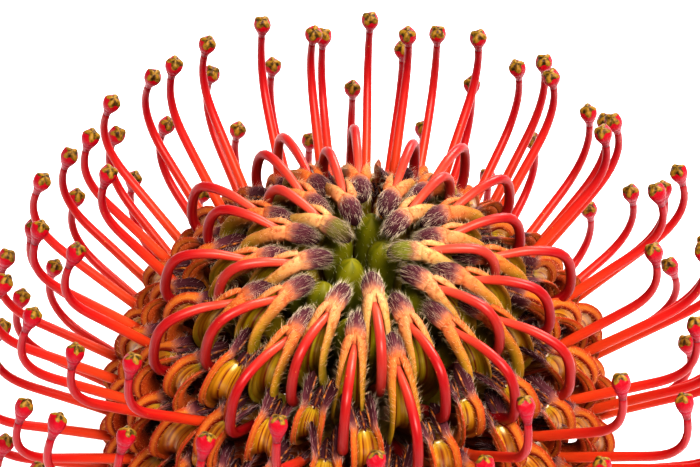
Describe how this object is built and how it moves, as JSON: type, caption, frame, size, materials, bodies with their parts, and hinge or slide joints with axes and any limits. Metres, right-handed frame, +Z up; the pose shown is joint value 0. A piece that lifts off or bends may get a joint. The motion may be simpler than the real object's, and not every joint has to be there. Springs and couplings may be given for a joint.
{
  "type": "pincushion protea flower",
  "caption": "Picked pincushion flower head on a short cut stem: rolled orange petals with dark hairy tips and long red styles that hook upwards, each with a pollen-tipped end.",
  "frame": {"origin": "centre of the flat cut face of the stem, on the surface the flower stands on", "axes": "+Z up along the stem to the middle of the flower head"},
  "size_m": [0.1138, 0.1143, 0.0649],
  "materials": {
    "stem": "downy green and brown woody stem",
    "bract": "matte, leathery, with a pale silky fringe",
    "bud": "green and straw yellow, fuzzy at the tip",
    "style": "smooth, waxy, orange red to crimson, satin",
    "petal": "glossy gold inside, orange and hairy outside, dark hairy tips"
  },
  "bodies": {
    "root": {"stem_and_receptacle": "stem", "involucral_bract_01": "bract", "involucral_bract_02": "bract", "involucral_bract_03": "bract", "involucral_bract_04": "bract", "involucral_bract_05": "bract", "involucral_bract_06": "bract", "involucral_bract_07": "bract", "involucral_bract_08": "bract", "involucral_bract_09": "bract", "involucral_bract_10": "bract", "involucral_bract_11": "bract", "involucral_bract_12": "bract", "involucral_bract_13": "bract", "closed_buds": "bud", "pistils_spiral_01": "style", "pistils_spiral_02": "style", "pistils_spiral_03": "style", "pistils_spiral_04": "style", "pistils_spiral_05": "style", "pistils_spiral_06": "style", "pistils_spiral_07": "style", "pistils_spiral_08": "style", "pistils_spiral_09": "style", "pistils_spiral_10": "style", "pistils_spiral_11": "style", "pistils_spiral_12": "style", "pistils_spiral_13": "style", "pistils_spiral_14": "style", "pistils_spiral_15": "style", "pistils_spiral_16": "style", "pistils_spiral_17": "style", "pistils_spiral_18": "style", "pistils_spiral_19": "style", "pistils_spiral_20": "style", "pistils_spiral_21": "style", "perianths_spiral_01": "petal", "perianths_spiral_02": "petal", "perianths_spiral_03": "petal", "perianths_spiral_04": "petal", "perianths_spiral_05": "petal", "perianths_spiral_06": "petal", "perianths_spiral_07": "petal", "perianths_spiral_08": "petal", "perianths_spiral_09": "petal", "perianths_spiral_10": "petal", "perianths_spiral_11": "petal", "perianths_spiral_12": "petal", "perianths_spiral_13": "petal", "perianths_spiral_14": "petal", "perianths_spiral_15": "petal", "perianths_spiral_16": "petal", "perianths_spiral_17": "petal", "perianths_spiral_18": "petal", "perianths_spiral_19": "petal", "perianths_spiral_20": "petal", "perianths_spiral_21": "petal"}
  },
  "joints": []
}
